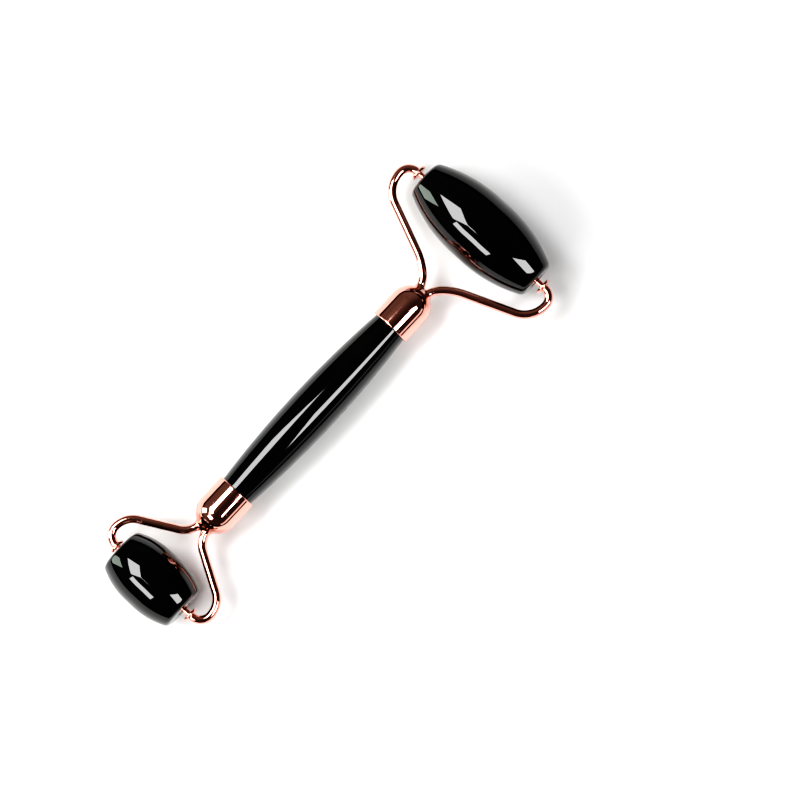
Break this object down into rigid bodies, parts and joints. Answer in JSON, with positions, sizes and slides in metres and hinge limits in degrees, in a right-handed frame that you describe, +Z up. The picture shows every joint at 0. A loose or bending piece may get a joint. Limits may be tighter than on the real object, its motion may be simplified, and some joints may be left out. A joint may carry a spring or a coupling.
{
  "type": "face roller",
  "caption": "Double-ended face roller: turned stone handle, metal end caps, bent wire forks and a barrel-shaped stone roller spinning in each fork.",
  "frame": {"origin": "on the table under the middle of the tool as it lies on both rollers", "axes": "+X along the roller axles, +Y along the handle towards the large roller, +Z up from the table"},
  "size_m": [0.0552, 0.1456, 0.0195],
  "materials": {
    "handle_stone": "polished",
    "roller_stone": "polished",
    "rose_gold": "polished",
    "stud_steel": "satin",
    "nylon": "satin"
  },
  "bodies": {
    "frame": {"handle_stone": "handle_stone", "large_end_cap": "rose_gold", "small_end_cap": "rose_gold", "large_cap_stud": "stud_steel", "small_cap_stud": "stud_steel", "large_fork_left_wire": "rose_gold", "large_fork_right_wire": "rose_gold", "small_fork_left_wire": "rose_gold", "small_fork_right_wire": "rose_gold", "large_fork_weld": "rose_gold", "small_fork_weld": "rose_gold", "large_left_axle_pin": "rose_gold", "large_right_axle_pin": "rose_gold", "small_left_axle_pin": "rose_gold", "small_right_axle_pin": "rose_gold"},
    "large_roller": {"large_roller_stone": "roller_stone", "large_roller_left_bush": "nylon", "large_roller_right_bush": "nylon"},
    "small_roller": {"small_roller_stone": "roller_stone", "small_roller_left_bush": "nylon", "small_roller_right_bush": "nylon"}
  },
  "joints": [
    {"name": "large_roller_spin", "type": "hinge", "parent": "frame", "child": "large_roller", "pos_m": [0, 0.0631, 0.00975], "axis": [1, 0, 0], "continuous": true},
    {"name": "small_roller_spin", "type": "hinge", "parent": "frame", "child": "small_roller", "pos_m": [0, -0.064, 0.00885], "axis": [1, 0, 0], "continuous": true}
  ]
}
